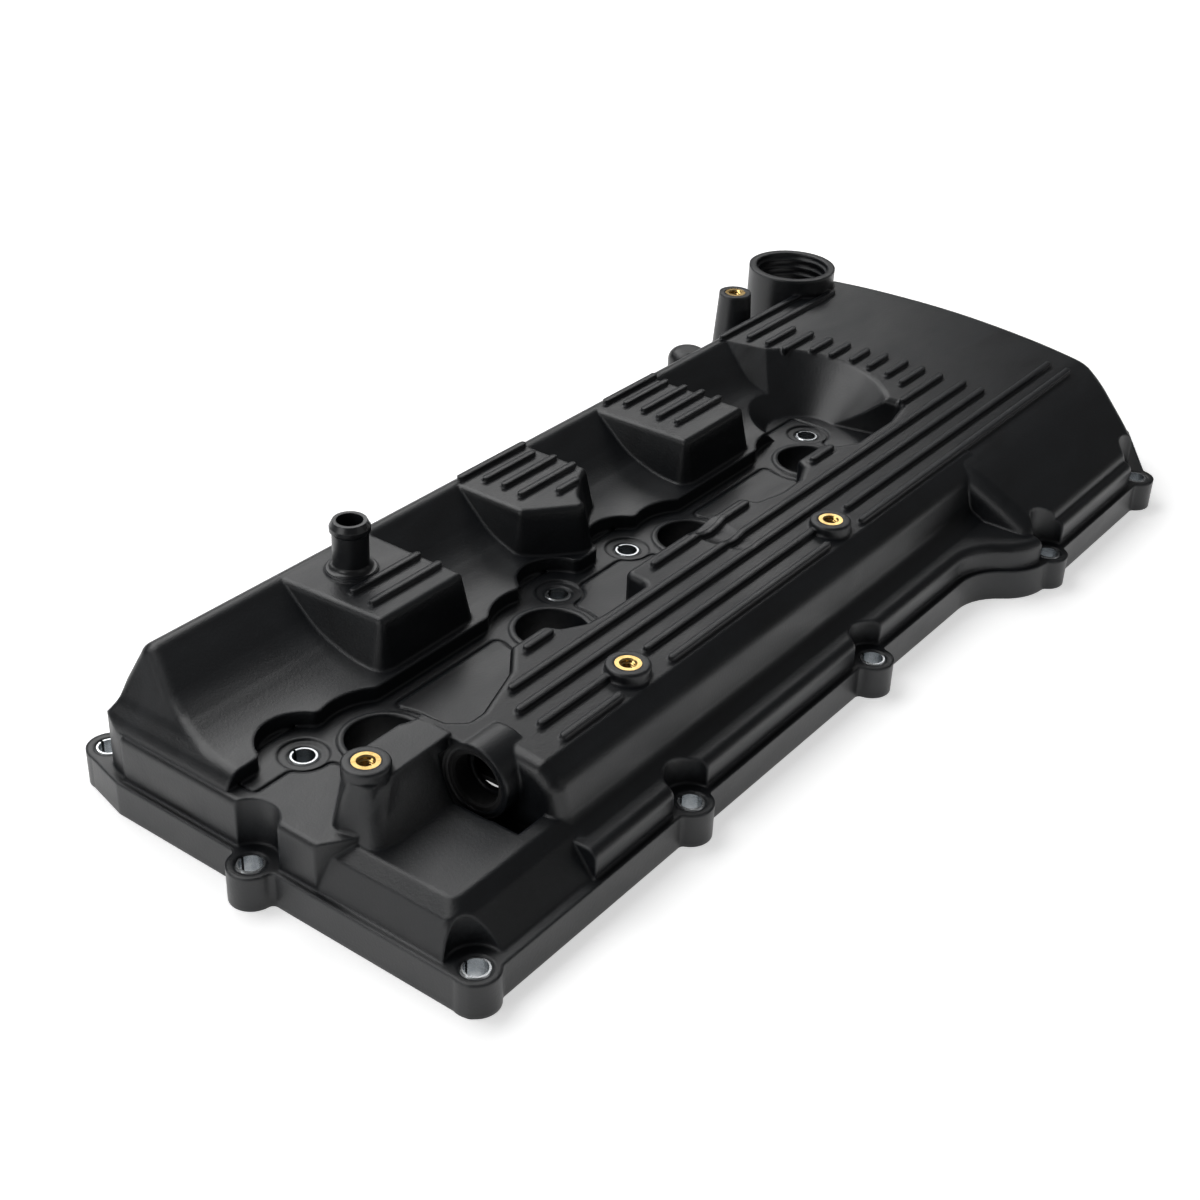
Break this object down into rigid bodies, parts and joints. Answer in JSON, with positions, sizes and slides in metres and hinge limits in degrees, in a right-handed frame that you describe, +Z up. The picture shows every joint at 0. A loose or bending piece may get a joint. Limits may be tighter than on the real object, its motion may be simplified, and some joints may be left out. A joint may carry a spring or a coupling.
{
  "type": "engine valve cover",
  "caption": "Long moulded cover for a twin-cam inline engine head, with sunk plug deck, ribbed banks, filler neck, breather nipple, bolt sleeves, inserts, baffles and gasket.",
  "frame": {"origin": "middle of the cover's plan on the sealing plane", "axes": "+Z up out of the engine, +X from the near end towards the filler end, +Y towards the filler and nipple side"},
  "size_m": [0.571, 0.2502, 0.0867],
  "materials": {
    "nylon_shell": "matt moulded glass-filled nylon, faintly speckled",
    "nylon_nipple": "smooth satin moulded nylon",
    "baffle_nylon": "satin moulded nylon",
    "seal_rubber": "dull moulded rubber",
    "sleeve_steel": "bright zinc-plated steel",
    "insert_brass": "machined brass"
  },
  "bodies": {
    "root": {"cover_shell": "nylon_shell", "hose_nipple": "nylon_nipple", "cover_gasket": "seal_rubber", "plug_seal_1": "seal_rubber", "plug_seal_2": "seal_rubber", "plug_seal_3": "seal_rubber", "plug_seal_4": "seal_rubber", "port_seal": "seal_rubber", "baffle_left": "baffle_nylon", "baffle_right": "baffle_nylon", "flange_sleeve_01": "sleeve_steel", "flange_sleeve_02": "sleeve_steel", "flange_sleeve_03": "sleeve_steel", "flange_sleeve_04": "sleeve_steel", "flange_sleeve_05": "sleeve_steel", "flange_sleeve_06": "sleeve_steel", "flange_sleeve_07": "sleeve_steel", "flange_sleeve_08": "sleeve_steel", "flange_sleeve_09": "sleeve_steel", "flange_sleeve_10": "sleeve_steel", "flange_sleeve_11": "sleeve_steel", "flange_sleeve_12": "sleeve_steel", "flange_sleeve_13": "sleeve_steel", "centre_sleeve_1": "sleeve_steel", "centre_sleeve_2": "sleeve_steel", "centre_sleeve_3": "sleeve_steel", "centre_sleeve_4": "sleeve_steel", "thread_insert_1": "insert_brass", "thread_insert_2": "insert_brass", "thread_insert_3": "insert_brass", "thread_insert_4": "insert_brass"}
  },
  "joints": []
}
